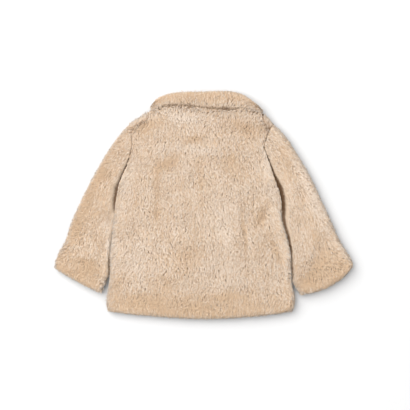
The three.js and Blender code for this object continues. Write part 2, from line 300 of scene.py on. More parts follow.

# Patches where the pile lies another way and looks lighter or, below 0, darker. Turn is in degrees.
# Three on the sleeves are also painted shade and light, as noted at them.
PATCHES = [
    Patch(-17, 125, 14, 6, 10, -1.0),
    Patch(-71, 77, 26, 10, 28, -0.9),
    Patch(-87, 28, 6, 40, 0, -0.5),
    Patch(-88, -16, 7, 12, 0, -0.6),
    Patch(-7, 45, 6, 50, 0, -0.4),
    Patch(104, -20, 8, 22, -20, -0.8),
    Patch(129, -76, 7, 26, 30, -0.6),
    Patch(74, -50, 4, 44, 5, -0.8),
    Patch(-14, -186, 14, 9, 0, -0.9),
    Patch(-110, -174, 50, 14, 0, -0.65),
    Patch(46, -165, 34, 9, 5, -0.5),
    Patch(-32, -92, 28, 22, 20, -0.5),
    Patch(-63, -143, 20, 14, 0, -0.5),
    Patch(-155, -136, 10, 12, 0, -0.4),
    Patch(-98, 150, 30, 12, 20, -0.7),
    Patch(76, 143, 30, 16, -20, -0.6),
    Patch(49, 74, 20, 18, 0, -0.4),
    Patch(-188, 60, 14, 9, 15, -0.6),
    Patch(-232, -42, 9, 26, -25, -0.6),
    Patch(-213, -108, 22, 12, -25, -0.9),
    # Partly the lie of the pile, partly painted shade: darkens the left sleeve, which the key light from the
    # left brightens.
    Patch(-205, 10, 34, 110, -22, -0.35),
    Patch(196, 60, 30, 90, 24, -0.15),
    Patch(0, 196, 110, 16, 0, -0.46),
    # Partly the lie of the pile, partly painted light and shade: the left sleeve's outer side darker, the
    # right one's lighter.
    Patch(-218, 10, 10, 130, -27, -0.4),
    Patch(213, 10, 10, 130, 29, 0.3),
    Patch(213, -104, 12, 36, -32, -0.9),
    Patch(190, -137, 18, 10, 0, -0.7),
    Patch(250, -108, 20, 14, -30, -0.4),
    Patch(-10, -190, 190, 24, 0, -0.62),
    Patch(-232, -128, 50, 24, -25, -0.68),
    Patch(230, -132, 56, 24, 22, -0.68),
    Patch(54, 89, 14, 18, 0, -0.4),
    Patch(147, 84, 9, 34, 20, -0.5),
    Patch(204, -50, 11, 24, 14, -0.4),
    Patch(-38, 163, 34, 9, 0, 0.9),
    Patch(-10, 104, 60, 8, -5, 0.4),
    Patch(118, 60, 7, 50, 8, 0.5),
    Patch(-142, 40, 9, 40, -14, 0.4),
    Patch(-124, -98, 22, 34, 0, 0.4),
    Patch(38, -25, 28, 50, 0, 0.35),
    Patch(32, -120, 26, 24, 0, 0.3),
    Patch(196, 20, 10, 60, 24, 0.45),
    Patch(-172, -60, 9, 34, 10, 0.3),
]

# How finely curves and faces are divided, how many waves add up and which bends of the cloth look smooth.
CURVE_STEPS = 40
FINE_STEPS = 320
WAVE_COUNT = 14
TUFT_LATTICE_STEP = 2.5
COLLAR_STEP = 4
COLLAR_COLUMNS = 49
SMOOTH_ANGLE = math.radians(50)

# Broad unevenness of the pile: the lengths of its waves as shares of a scale, and what each wave changes.
SHORTEST_WAVE = 1.2
WAVE_RANGE = 1.6
BROAD_SWIRL = Wave(0.8, 40, 11)
SMALL_SWIRL = Wave(0.12, 16, 12)
LEAN_WAVE = Wave(0.1, 20, 13)
HEIGHT_WAVE = Wave(0.015, 9, 14)
TONE_WAVE = Wave(0.1, 24, 15)

# Where the random draws of each kind of piece start. The back's start at 0.
FRONT_SEEDS = 10
SLEEVE_SEEDS = 20
SLEEVE_UNDER_SEEDS = 30
COLLAR_SEEDS = 40

# How high and pale the clumps are, and how unlike each other clumps and the tufts of a clump are.
MEAN_HEIGHT = 0.9
MEAN_TONE = 0.61
PATCH_SHARE = 1.2
CLUMP_CONTRAST = 0.36
CLUMP_UNEVENNESS = Unevenness(angle=0.25, lean=0.12, height=0.08, tone=0.18)
TUFT_UNEVENNESS = Unevenness(angle=0.12, lean=0.2, height=0.07, tone=0.25)
STRAY_SHARE = 0.08
STRAY_HEIGHT = 0.3
WIDTH_RANGE = (0.7, 1.3)

# Shares of a tuft and its strip of colour, and how the painted shade of a crevice moves that strip.
BEND_SHARE = 0.5
BEND_WIDTH_SHARE = 0.85
STRIP_HALF = 0.002
STRIP_ENDS = (0.03, 0.97)
RIM_TONES = (0.05, 0.1)
LEAST_TONE = 0.12
OPEN_ROOT = 0.45
CREVICE_SHADE_TIP = 0.07
CREVICE_SHADE_UNEVENNESS = 0.15
LEAST_DIP = 0.05

# How tufts near an edge lean out over it, how far they go past it and how they differ from the others:
# their tone is darker near edges and seams and many rim tips turn grey, both painted shade.
EDGE_PULL = 1.2
EDGE_PULL_REACH = 10
LEAST_PULL = 0.35
EDGE_LEAN = 0.4
EDGE_ROLL = 0.5
OVERHANG = 0.77
EDGE_PAINTED_SHADE = 0.3
RIM_SHARE = 0.75
RIM_REACH = 17
NEAR_EDGE_SHARE = 0.93

# How far the shading of a tuft follows its own faces, and how far light spreads upwards in the pile.
BLADE_FACING = 1.0
SCATTER_UP = 4.0

# The least length that a direction is taken from.
SHORTEST = 1e-9

# Finish of the pile, and of the cloth under it.
MATT = {"Specular IOR Level": 0.2, "Sheen Weight": 0.25, "Sheen Roughness": 0.6}
ROOT_ROUGHNESS = 0.95
TIP_SMOOTHING = 0.2
SMOOTHING_FROM = 0.4
MATTED_SHARE = 0.65
BROAD_SHARE = 0.35
BACKING_TONES = (0.36, 0.64)
MATTED_NOISE = {"Scale": 320.0, "Detail": 3.0}
BROAD_NOISE = {"Scale": 45.0, "Detail": 2.0}
UNDERFUR_BUMP = {"Strength": 0.5, "Distance": 0.0006}
PLAIN_ROUGHNESS = 0.9


def crowded_at_ends(steps):
    """Shares from 0 to 1 that crowd together at both ends."""
    return (1 - np.cos(np.pi * np.arange(steps + 1) / steps)) / 2


def smooth_step(value):
    """0 below 0, 1 above 1 and a soft rise between them."""
    share = np.clip(value, 0, 1)
    return share * share * (3 - 2 * share)


def reach_along(line):
    """The distance walked to each point of lines of points."""
    steps = np.linalg.norm(np.diff(line, axis=-2), axis=-1)
    start = np.zeros(steps.shape[:-1] + (1,))
    return np.concatenate([start, np.cumsum(steps, axis=-1)], axis=-1)


def plan_curve(points):
    """A smooth plan curve through points, read by its share of length."""
    knots = np.array(points, float)
    knots = np.vstack([2 * knots[0] - knots[1], knots, 2 * knots[-1] - knots[-2]])
    t = np.linspace(0, 1, CURVE_STEPS, endpoint=False)[:, None]
    stretches = []
    for p0, p1, p2, p3 in zip(knots, knots[1:], knots[2:], knots[3:]):
        d0, d1, d2 = (math.sqrt(math.dist(a, b)) for a, b in ((p0, p1), (p1, p2), (p2, p3)))
        leave = d1 * ((p1 - p0) / d0 - (p2 - p0) / (d0 + d1) + (p2 - p1) / d1)
        arrive = d1 * ((p2 - p1) / d1 - (p3 - p1) / (d1 + d2) + (p3 - p2) / d2)
        cubic = 2 * (p1 - p2) + leave + arrive
        square = 3 * (p2 - p1) - 2 * leave - arrive
        stretches.append(p1 + t * (leave + t * (square + t * cubic)))
    line = np.vstack([*stretches, knots[-2]])
    reach = reach_along(line)
    reach /= reach[-1]
    return lambda share: np.stack([np.interp(share, reach, line[:, axis]) for axis in range(2)], axis=-1)


def unit(vectors):
    """Vectors of length 1."""
    return vectors / np.maximum(np.linalg.norm(vectors, axis=-1, keepdims=True), SHORTEST)


def mirrored(share):
    """Shares that left 0 to 1, turned back inside."""
    return 1 - np.abs(1 - np.abs(share))


def moved(curve, x=0.0, y=0.0):
    """A plan curve moved by a distance."""
    return lambda share: curve(share) + np.array([x, y])


def straight(start, end):
    """A straight plan curve between two places."""
    return lambda share: start + (end - start) * np.asarray(share)[..., None]


def filled_plan(start, end, near, far):
    """The plan of a panel, filled in between its four edges. u runs across and v along."""

    def plan(u, v):
        across = np.asarray(u)[..., None]
        along = np.asarray(v)[..., None]
        sides = near(v) * (1 - across) + far(v) * across
        ends = start(u) * (1 - along) + end(u) * along
        first_corners = start(0.0) * (1 - across) + start(1.0) * across
        last_corners = end(0.0) * (1 - across) + end(1.0) * across
        return sides + ends - (first_corners * (1 - along) + last_corners * along)

    return plan


def rounded(distance, radius, lip):
    """The share of full height at a distance from an edge, rounding up from its lip."""
    reach = np.clip(distance / radius, 0, 1)
    return lip + (1 - lip) * np.sqrt(1 - (1 - reach) ** 2)


def drawn_in(share, length, start_inset, end_inset):
    """Shares of a length, drawn in near both its ends and left as they are between them."""
    reach = np.minimum(INSET_REACH, length / 2)
    most = INSET_SHARE * length
    at_start = np.minimum(start_inset, most) * (1 - smooth_step(share * length / reach))
    at_end = np.minimum(end_inset, most) * (1 - smooth_step((1 - share) * length / reach))
    return share + (at_start - at_end) / length


def distance_to_stretch(place, start, end):
    """How far plan places are from the straight line between two points."""
    run = np.subtract(end, start)
    share = np.clip((place - np.array(start)) @ run / (run @ run), 0, 1)
    return np.linalg.norm(place - start - share[..., None] * run, axis=-1)


def fold_depth(piece, place):
    """The depth of all folds of a piece at plan places."""
    depth = 0.0
    for fold in FOLDS:
        if fold.piece == piece:
            away = distance_to_stretch(place, (fold.x1, fold.y1), (fold.x2, fold.y2)) / fold.width
            depth = depth + fold.depth * np.exp(-away * away)
    return depth


def waves(place, wave):
    """Smooth unevenness over plan places, about as strong as the wave's share and as broad as its scale."""
    rng = np.random.default_rng(wave.seed)
    total = 0.0
    for turn, phase, stretch in rng.uniform(0, 1, (WAVE_COUNT, 3)):
        pitch = 2 * math.pi / (wave.scale * (SHORTEST_WAVE + WAVE_RANGE * stretch))
        way = np.array([math.cos(2 * math.pi * turn), math.sin(2 * math.pi * turn)]) * pitch
        total = total + np.sin(place @ way + 2 * math.pi * phase)
    return wave.share * (total / math.sqrt(WAVE_COUNT))


def patch_tone(place):
    """How much lighter or darker the lie of the pile, and on the sleeves some painted shade and light, makes
    plan places.
    """
    tone = 0.0
    for patch in PATCHES:
        turn = math.radians(patch.turn)
        away = place - np.array([patch.x, patch.y])
        across = (away[..., 0] * math.cos(turn) + away[..., 1] * math.sin(turn)) / patch.across
        along = (away[..., 1] * math.cos(turn) - away[..., 0] * math.sin(turn)) / patch.along
        tone = tone + patch.tone * np.exp(-(across**2) - along**2)
    return tone


class Layer:
    """One face of the coat. u runs across and v along, both from 0 to 1, and lengths are in millimetres.

    Its pile ends on the tips surface, and its cloth lies below that, drawn in at free edges.
    """

    def __init__(self, plan, edges, meeting, crest, side, fit, dip=None):
        self.dip = dip or (lambda u, v, place: 1.0)
        self.plan = plan
        self.edges = edges
        self.meeting = meeting
        self.crest = crest
        self.side = side
        self.depth = fit.depth if side > 0 else fit.pressed

    def share(self, u, v, place, on_cloth):
        """The share of full height at a place, rounding down to all four edges."""
        feet = self.plan(0.0, v), self.plan(1.0, v), self.plan(u, 0.0), self.plan(u, 1.0)
        total = self.dip(u, v, place)
        for edge, foot in zip(self.edges(u, v), feet):
            inset = edge.inset if on_cloth else 0.0
            lip = edge.lip * (CLOTH_LIP_SHARE if on_cloth else 1.0)
            distance = np.linalg.norm(place - foot, axis=-1) - inset
            total = total * rounded(distance, edge.radius - inset, lip)
        return total

    def tips(self, u, v):
        """Where the pile ends."""
        place = self.plan(u, v)
        rise = self.crest(u, place) - self.meeting
        height = self.meeting + rise * self.share(u, v, place, False)
        return np.concatenate([place, height[..., None]], axis=-1)

    def cloth(self, u, v):
        """Where the outer side of the cloth lies."""
        left, right, near, far = self.edges(u, v)
        width = np.linalg.norm(self.plan(1.0, v) - self.plan(0.0, v), axis=-1)
        length = np.linalg.norm(self.plan(u, 1.0) - self.plan(u, 0.0), axis=-1)
        u_in = drawn_in(u, width, left.inset, right.inset)
        v_in = drawn_in(v, length, near.inset, far.inset)
        place = self.plan(u_in, v_in)
        rise = np.abs(self.crest(u_in, place) - self.meeting) - self.depth
        rise = self.side * np.maximum(rise, LEAST_CLOTH_RISE)
        height = self.meeting + rise * self.share(u_in, v_in, place, True)
        return np.concatenate([place, height[..., None]], axis=-1)


def evenly_spaced(surface, spacing, columns=None):
    """Places in even rows and columns over a surface, with its length and the width of each row."""
    fine = crowded_at_ends(FINE_STEPS)
    middle = reach_along(surface(np.full_like(fine, 0.5), fine))
    length = middle[-1]
    rows = math.ceil(length / spacing) + 1
    v = np.interp(np.linspace(0, length, rows), middle, fine)
    reach = reach_along(surface(fine[None, :], v[:, None]))
    widths = reach[:, -1]
    columns = columns or math.ceil(widths.max() / spacing) + 1
    shares = np.linspace(0, 1, columns)
    u = np.array([np.interp(shares * row[-1], row, fine) for row in reach])
    return u, np.broadcast_to(v[:, None], u.shape), length, widths


class Lattice:
    """Rows and columns over a layer, to read it by shares of length across and along."""

    def __init__(self, layer, spacing):
        u, v, self.length, self.widths = evenly_spaced(layer.tips, spacing)
        self.layer = layer
        self.cloth = layer.cloth(u, v)
        self.tips = layer.tips(u, v)
        self.open_share = layer.share(u, v, self.tips[..., :2], False)
        self.dip = layer.dip(u, v, self.tips[..., :2]) * np.ones_like(u)
        self.lips = np.stack([edge.lip * np.ones_like(u) for edge in layer.edges(u, v)], axis=-1)
        self.normals = self.facing(self.tips)

    def facing(self, surface):
        """Unit normals of a surface on the lattice, pointing the way the pile does."""
        across = np.gradient(surface, axis=1)
        along = np.gradient(surface, axis=0)
        normals = unit(np.cross(across, along))
        return normals * self.layer.side * np.sign(normals[..., 2].mean())

    def width_at(self, along):
        """The width of the layer at shares of its length."""
        return np.interp(along, np.linspace(0, 1, len(self.widths)), self.widths)

    def read(self, field, across, along):
        """A field of the lattice at shares across and along, held at the edges."""
        rows, columns = field.shape[:2]
        over = np.clip(across, 0, 1) * (columns - 1)
        up = np.clip(along, 0, 1) * (rows - 1)
        column = np.minimum(over.astype(int), columns - 2)
        row = np.minimum(up.astype(int), rows - 2)
        shape = (-1,) + (1,) * (field.ndim - 2)
        over = (over - column).reshape(shape)
        up = (up - row).reshape(shape)
        low = field[row, column] * (1 - over) + field[row, column + 1] * over
        high = field[row + 1, column] * (1 - over) + field[row + 1, column + 1] * over
        return low * (1 - up) + high * up

    def scattered(self, spacing, rng):
        """Uneven places over the layer, about one for each square of the spacing."""
        rows = max(1, round(self.length / spacing))
        across = []
        along = []
        for row in range(rows):
            count = max(1, round(float(self.width_at((row + 0.5) / rows)) / spacing))
            across.append((np.arange(count) + rng.uniform(0, 1, count)) / count)
            along.append((row + rng.uniform(0, 1, count)) / rows)
        return np.concatenate(across), np.concatenate(along)


# Outlines that several pieces share.
BODY_EDGE = {}
ARMHOLE = {}
for side_name in ("left", "right"):
    side_points = [Point(getattr(row, side_name), row.y) for row in BODY_EDGES]
    BODY_EDGE[side_name] = plan_curve([point for point in side_points if point.y <= UNDERARM_Y])
    ARMHOLE[side_name] = plan_curve([point for point in side_points if point.y >= UNDERARM_Y])
HEM = plan_curve(HEM_LINE)
SHOULDER_AND_NECK = plan_curve(SHOULDER_AND_NECK_LINE)
INWARDS = {"left": 1, "right": -1}
SEAM_BLEND = 0.04
CENTRE_EDGE = Edge(CENTRE_RADIUS, EDGE_LIP, CENTRE_RADIUS / 2)


def seam_share(share, start, end):
    """1 where a sewn seam runs between two shares of an edge and 0 where the edge is free."""
    return smooth_step((share - start) / SEAM_BLEND + 0.5) * smooth_step((end - share) / SEAM_BLEND + 0.5)


def mixed_edge(sewn, seam, free):
    """An edge that is a seam on some of its length and free on the rest."""
    return Edge(*(of_seam * sewn + of_free * (1 - sewn) for of_seam, of_free in zip(seam, free)))


def dipped(distance, station, rows):
    """The share of full height beside an edge that lies on the pile, low near it and then rising."""
    stations, widths, depths = np.array(rows).T
    width = np.interp(station, stations, widths)
    depth = np.interp(station, stations, depths)
    rise = smooth_step((distance - DIP_LOW_SHARE * width) / (DIP_RISE_SHARE * width + DIP_RISE))
    return 1 - depth * DIP_DEPTH * (1 - rise)


def on_floor(u, place):
    """The height of the lower faces, which rest on the floor."""
    return np.zeros(place.shape[:-1])


def body_side(side):
    """A body panel's side: its free side edge, and above that its armhole, half a gap inside the seam."""
    seam = moved(ARMHOLE[side], x=INWARDS[side] * SEAM_GAP / 2)

    def place(v):
        share = np.asarray(v)
        low = BODY_EDGE[side](share / UNDERARM_SHARE)
        high = seam((share - UNDERARM_SHARE) / (1 - UNDERARM_SHARE))
        return np.where((share <= UNDERARM_SHARE)[..., None], low, high)

    return place


def armhole_lip(lips, share):
    """The lip of a body or sleeve edge at the armhole, by its share from underarm to shoulder."""
    return lips.underarm + (lips.shoulder - lips.underarm) * smooth_step(share / LIP_RISE_SHARE)


def back_layer(fit):
    """The back: one panel whose pile stands up, sewn to both sleeves and the collar."""

    def edges(u, v):
        above = (v - UNDERARM_SHARE) / (1 - UNDERARM_SHARE)
        sewn = seam_share(v, UNDERARM_SHARE, PAST_END)
        beside_sleeve = seam_share(v, BESIDE_SLEEVE_FROM, PAST_END)
        on_sleeve = Edge(BODY_SIDE_RADIUS, TUCKED_LIP, fit.inset)
        free = Edge(FREE_RADIUS, EDGE_LIP, fit.inset)
        below = mixed_edge(beside_sleeve, on_sleeve, free)
        sides = [
            mixed_edge(sewn, Edge(SEAM_RADIUS, armhole_lip(BACK_LIPS[side], above), 0.0), below)
            for side in ("left", "right")
        ]
        on_neck = seam_share(u, NECK_FROM - NECK_MARGIN, NECK_TO + NECK_MARGIN)
        return *sides, free, mixed_edge(on_neck, Edge(SEAM_RADIUS, NECK_LIP, 0.0), free)

    def crest(u, place):
        along = np.clip((place[..., 1] - HEM_Y) / (NECK_Y - HEM_Y), 0, 1)
        loft = BACK_LOFT * np.sin(np.pi * u) * np.sin(np.pi * along) ** 0.5
        return UPPER_INSIDE + FUR_THICKNESS + loft - fold_depth("back", place)

    plan = filled_plan(HEM, SHOULDER_AND_NECK, body_side("left"), body_side("right"))
    return Layer(plan, edges, UPPER_INSIDE, crest, 1, fit)


def front_layer(side, fit):
    """One front: a panel under the back, flat where it rests, from its side to the centre front."""
    side_share = 0.0 if side == "left" else 1.0
    centre_share = 0.5 - INWARDS[side] * CENTRE_GAP_SHARE / 2

    def to_body(u):
        return side_share + (centre_share - side_share) * u

    def edges(u, v):
        sewn = seam_share(v, UNDERARM_SHARE, PAST_END)
        side_seam = Edge(SIDE_RADIUS, UNDERSIDE_LIP, 0.0)
        outer = mixed_edge(sewn, side_seam, Edge(SIDE_RADIUS, EDGE_LIP, fit.inset))
        free = Edge(FREE_RADIUS, EDGE_LIP, fit.inset)
        on_neck = seam_share(to_body(u), NECK_FROM, NECK_TO)
        neck_seam = Edge(SEAM_RADIUS, UNDERSIDE_LIP, 0.0)
        return outer, CENTRE_EDGE, free, mixed_edge(on_neck, neck_seam, free)

    def hem_part(u):
        return HEM(to_body(u))

    def top_part(u):
        return SHOULDER_AND_NECK(to_body(u))

    centre_edge = straight(hem_part(1.0), top_part(1.0))
    plan = filled_plan(hem_part, top_part, body_side(side), centre_edge)
    return Layer(plan, edges, LOWER_INSIDE, on_floor, -1, fit)


def sleeve_layers(side, fit):
    """The upper and the lower face of a sleeve, u from its underarm seam to its outer fold."""
    outwards = -INWARDS[side]
    cuff = CUFFS[side]
    along_body = [row for row in BODY_EDGES if SLEEVE_PARTS_Y <= row.y <= UNDERARM_Y][::-1]
    gaps = [SEAM_GAP / 2] + [SIDE_GAP] * (len(along_body) - 1)
    inner = [Point(getattr(row, side) + outwards * gap, row.y) for row, gap in zip(along_body, gaps)]
    inner_edge = plan_curve([*inner, cuff.parting, cuff.inner])
    outer_edge = plan_curve([*(Point(getattr(row, side), row.y) for row in SLEEVE_OUTER_EDGES), cuff.outer])
    run = np.subtract(cuff.outer, cuff.inner)
    down = np.array([run[1], -run[0]]) * -outwards / np.linalg.norm(run)

    def cuff_edge(u):
        share = np.asarray(u)[..., None]
        return np.array(cuff.inner) + run * share - down * 4 * cuff.bow * share * (1 - share)

    plan = filled_plan(moved(ARMHOLE[side], x=outwards * SEAM_GAP / 2), cuff_edge, inner_edge, outer_edge)

    def edges_with(lip, tucked_lip):
        def edges(u, v):
            tucked = tucked_lip * (1 - smooth_step((np.asarray(v) - TUCKED_TO) / TUCKED_FADE))
            inner = Edge(SIDE_RADIUS, tucked, fit.inset)
            outer = Edge(FREE_RADIUS, 0.0, fit.inset)
            return inner, outer, Edge(SEAM_RADIUS, lip(u), 0.0), Edge(FREE_RADIUS, EDGE_LIP, fit.inset)

        return edges

    def crest(u, place):
        loft = SLEEVE_LOFT * np.sin(np.pi * u)
        return UPPER_INSIDE + FUR_THICKNESS + loft - fold_depth(f"sleeve_{side}", place)

    def dip(u, v, place):
        line = [Point(getattr(row, side), row.y) for row in BODY_EDGES]
        away = np.min([distance_to_stretch(place, *ends) for ends in zip(line, line[1:])], axis=0)
        return dipped(away, place[..., 1], CREVICES[side])

    upper_edges = edges_with(lambda u: armhole_lip(SLEEVE_LIPS[side], u), TUCKED_LIP)
    lower_edges = edges_with(lambda u: UNDERSIDE_LIP, 0.0)
    upper = Layer(plan, upper_edges, FOLD_HEIGHT, crest, 1, fit, dip)
    lower = Layer(plan, lower_edges, FOLD_HEIGHT, on_floor, -1, fit)
    return upper, lower


def collar_layers(fit):
    """The upper face of the collar, and the left and right halves that lie below it."""
    seam = moved(SHOULDER_AND_NECK, y=SEAM_GAP)
    top_edge = plan_curve(COLLAR_TOP_LINE)

    def neck_edge(u):
        return seam(NECK_FROM + (NECK_TO - NECK_FROM) * u)

    sides = [straight(neck_edge(end), top_edge(end)) for end in (0.0, 1.0)]
    plan = filled_plan(neck_edge, top_edge, *sides)
    folded = Edge(FREE_RADIUS, 0.0, fit.inset)
    free = Edge(FREE_RADIUS, EDGE_LIP, fit.inset)

    def crest(u, place):
        return np.full(place.shape[:-1], UPPER_INSIDE + FUR_THICKNESS + COLLAR_ROLL)

    def upper_edges(u, v):
        at_ends = smooth_step((np.abs(np.asarray(u) - 0.5) - COLLAR_END_FROM) / COLLAR_END_FADE)
        end = Edge(FREE_RADIUS, COLLAR_END_LIP, fit.inset)
        return end, end, Edge(COLLAR_SEAM_RADIUS, COLLAR_LIP, 0.0), mixed_edge(at_ends, end, free)

    def dip(u, v, place):
        return dipped(np.linalg.norm(place - plan(u, 0.0), axis=-1), place[..., 0], NECK_CREVICE)

    def lower_edges(u, v):
        return folded, CENTRE_EDGE, Edge(SEAM_RADIUS, UNDERSIDE_LIP, 0.0), free

    layers = [Layer(plan, upper_edges, FOLD_HEIGHT, crest, 1, fit, dip)]
    for fold_share, sign in ((0.0, 1), (1.0, -1)):
        centre_share = 0.5 - sign * COLLAR_GAP_SHARE / 2

        def half_plan(u, v, first=fold_share, last=centre_share):
            return plan(first + (last - first) * np.asarray(u), v)

        layers.append(Layer(half_plan, lower_edges, FOLD_HEIGHT, on_floor, -1, fit))
    return layers


def length_setting(name, description, default):
    """A setting that is a length in metres."""
    return FloatProperty(name=name, description=description, default=default, unit="LENGTH")


def share_setting(name, description, default):
    """A setting that is a share from 0 to 1."""
    return FloatProperty(name=name, description=description, default=default, subtype="FACTOR")


def colour_setting(name, description, default):
    """A setting that is a colour."""
    return FloatVectorProperty(name=name, description=description, default=default, subtype="COLOR")


class PileSettings(bpy.types.PropertyGroup):
    """How the pile stands and lies"""

    depth: length_setting("Depth", "How far the tips stand above the cloth", 0.006)
    pressed: length_setting("Pressed depth", "The same where the coat lies on it", 0.0035)
    inset: length_setting("Edge inset", "How far the cloth stays back from a free edge", 0.0055)
    lean: length_setting("Lean", "How far a tip lies from over its root", 0.0067)
    swirl: FloatProperty(
        name="Swirl", description="How far the nap turns from place to place", default=0.3, subtype="ANGLE"
    )
    clump_spacing: length_setting("Clump spacing", "Distance between clumps", 0.00225)
    clump_spread: length_setting("Clump spread", "How far the roots of a clump spread", 0.0008)
    clump_tufts: IntProperty(name="Tufts", description="Tufts in a clump", default=6, min=1)
    gather: share_setting("Gather", "How far the tips of a clump draw together", 0.5)
    arch: share_setting("Arch", "How far a tuft arches up, as a share of its length", 0.24)
    tuft_width: length_setting("Tuft width", "Width at the root", 0.00107)
    hidden_share: share_setting("Hidden share", "Share of tufts kept where the coat lies on them", 0.06)
    seed: IntProperty(name="Seed", description="Changes the unevenness of the pile", default=7)


class ClothSettings(bpy.types.PropertyGroup):
    """The backing of the fur"""

    thickness: length_setting("Thickness", "Backing with its dense underfur", 0.0015)
    step: length_setting("Step", "Size of the faces of the cloth", 0.007)


class ColourSettings(bpy.types.PropertyGroup):
    """Colours of the fur"""

    tip_light: colour_setting("Light tips", "Palest tips of the pile", (0.965, 0.862, 0.752))
    tip_dark: colour_setting("Dark tips", "Darkest tips of the pile", (0.72, 0.49, 0.28))
    # Painted shade: tufts along free edges turn this greyer, darker colour, standing in for the dimmer light
    # at the rim.
    tip_rim_shade: colour_setting("Rim tips", "Greyer tips along free edges", (0.70, 0.64, 0.585))
    root: colour_setting("Roots", "Pile near the cloth", (0.82, 0.65, 0.49))
    # Painted shade: tufts low in a crevice turn this dark brown in place of the shadow there.
    deep: colour_setting("Deep pile", "Pile down in a crevice", (0.15, 0.072, 0.027))
    backing_light: colour_setting("Backing", "Underfur on the cloth", (0.62, 0.46, 0.32))
    backing_dark: colour_setting("Dark backing", "Underfur where it is thin", (0.46, 0.32, 0.21))


class StageSettings(bpy.types.PropertyGroup):
    """Floor, light and camera"""

    floor_colour: colour_setting("Floor", "Colour of the floor", (0.88, 0.88, 0.88))
    floor_size: length_setting("Floor size", "Side of the floor", 12.0)
    camera_height: length_setting("Camera height", "Camera above the folded edges", 3.0)
    frame_width: length_setting("Frame width", "What the picture shows across", 0.7585)
    frame_centre: length_setting("Frame centre", "Centre of the picture along X", 0.00185)
    key_power: FloatProperty(
        name="Key light", description="Power of the main light", default=59.0, unit="POWER"
    )
    key_size: length_setting("Key size", "Side of the main light", 2.4)
    key_place: FloatVectorProperty(
        name="Key place",
        description="Place of the main light",
        default=(-1.1, 0.85, 2.1),
        subtype="TRANSLATION",
    )
    fill_strength: FloatProperty(name="Fill light", description="Strength of the surroundings", default=0.68)


def cloth_step(context):
    """The size of the faces of the cloth, in millimetres."""
    return context.scene.coat_cloth.step / MM


def fit_from(context):
    """The depths and inset of the pile, in millimetres."""
    pile = context.scene.coat_pile
    return Fit(pile.depth / MM, pile.pressed / MM, pile.inset / MM)


class Wire:
    """A shader socket that takes part in Python expressions."""

    def __init__(self, shader, socket):
        self.shader = shader
        self.socket = socket

    def math(self, operation, left, right):
        return self.shader.node("ShaderNodeMath", {"operation": operation}, {0: left, 1: right})

    def __add__(self, other):
        return self.math("ADD", self, other)

    def __rsub__(self, other):
        return self.math("SUBTRACT", other, self)

    def __rmul__(self, other):
        return self.math("MULTIPLY", other, self)


class Shader:
    """A material whose nodes are added one by one."""

    def __init__(self, name):
        self.material = bpy.data.materials.new(name)
        self.material.use_nodes = True
        self.tree = self.material.node_tree
        self.tree.nodes.clear()

    def node(self, kind, settings, values, output=0):
        """Adds a node with its settings and the values or links of its sockets, and gives one output."""
        made = self.tree.nodes.new(kind)
        for name, value in settings.items():
            setattr(made, name, value)
        for name, value in values.items():
            if isinstance(value, Wire):
                self.tree.links.new(value.socket, made.inputs[name])
            else:
                made.inputs[name].default_value = value
        return Wire(self, made.outputs[output]) if made.outputs else made

    def blend(self, share, first, second):
        """One colour turning into another with a share."""
        colours = [value if isinstance(value, Wire) else (*value, 1.0) for value in (first, second)]
        sockets = {0: share, 6: colours[0], 7: colours[1]}
        return self.node("ShaderNodeMix", {"data_type": "RGBA", "clamp_factor": True}, sockets, output=2)

    def softened(self, value, start, end):
        """0 before start, 1 after end and a soft rise between them."""
        sockets = {"Value": value, "From Min": start, "From Max": end}
        return self.node("ShaderNodeMapRange", {"interpolation_type": "SMOOTHSTEP"}, sockets)

    def surface(self, values):
        """Ends the material in a matt surface."""
        bsdf = self.node("ShaderNodeBsdfPrincipled", {}, {**MATT, **values})
        self.node("ShaderNodeOutputMaterial", {}, {"Surface": bsdf})
        return self.material


def pile_material(context):
    """The pile: tan at its roots and cream at its tips, from the strip of colour that each tuft holds."""
    name = "faux_fur_pile"
    if name in bpy.data.materials:
        return bpy.data.materials[name]
    colours = context.scene.coat_colours
    shader = Shader(name)
    strip = shader.node("ShaderNodeUVMap", {"uv_map": "OFBake"}, {})
    tone = shader.node("ShaderNodeSeparateXYZ", {}, {0: strip}, output=0)
    height = shader.node("ShaderNodeSeparateXYZ", {}, {0: strip}, output=1)
    tips = shader.blend(tone, colours.tip_dark, colours.tip_light)
    # Painted shade: tufts chosen at the rims take the grey rim colour.
    tips = shader.blend(shader.softened(tone, *RIM_TONES), colours.tip_rim_shade, tips)
    # Painted shade: the lower strip runs from the dark brown of a crevice's shadow up to the roots.
    lower = shader.blend(shader.softened(height, 0.0, OPEN_ROOT), colours.deep, colours.root)
    colour = shader.blend(shader.softened(height, OPEN_ROOT, 1.0), lower, tips)
    roughness = ROOT_ROUGHNESS - TIP_SMOOTHING * shader.softened(height, SMOOTHING_FROM, 1.0)
    return shader.surface({"Base Color": colour, "Roughness": roughness})


def backing_material(context):
    """The cloth under the pile, matted with short underfur."""
    name = "fur_backing"
    if name in bpy.data.materials:
        return bpy.data.materials[name]
    colours = context.scene.coat_colours
    shader = Shader(name)
    place = shader.node("ShaderNodeTexCoord", {}, {}, output=3)
    matted = shader.node("ShaderNodeTexNoise", {}, {"Vector": place, **MATTED_NOISE})
    broad = shader.node("ShaderNodeTexNoise", {}, {"Vector": place, **BROAD_NOISE})
    share = shader.softened(MATTED_SHARE * matted + BROAD_SHARE * broad, *BACKING_TONES)
    colour = shader.blend(share, colours.backing_dark, colours.backing_light)
    bump = shader.node("ShaderNodeBump", {}, {**UNDERFUR_BUMP, "Height": matted})
    return shader.surface({"Base Color": colour, "Roughness": ROOT_ROUGHNESS, "Normal": bump})


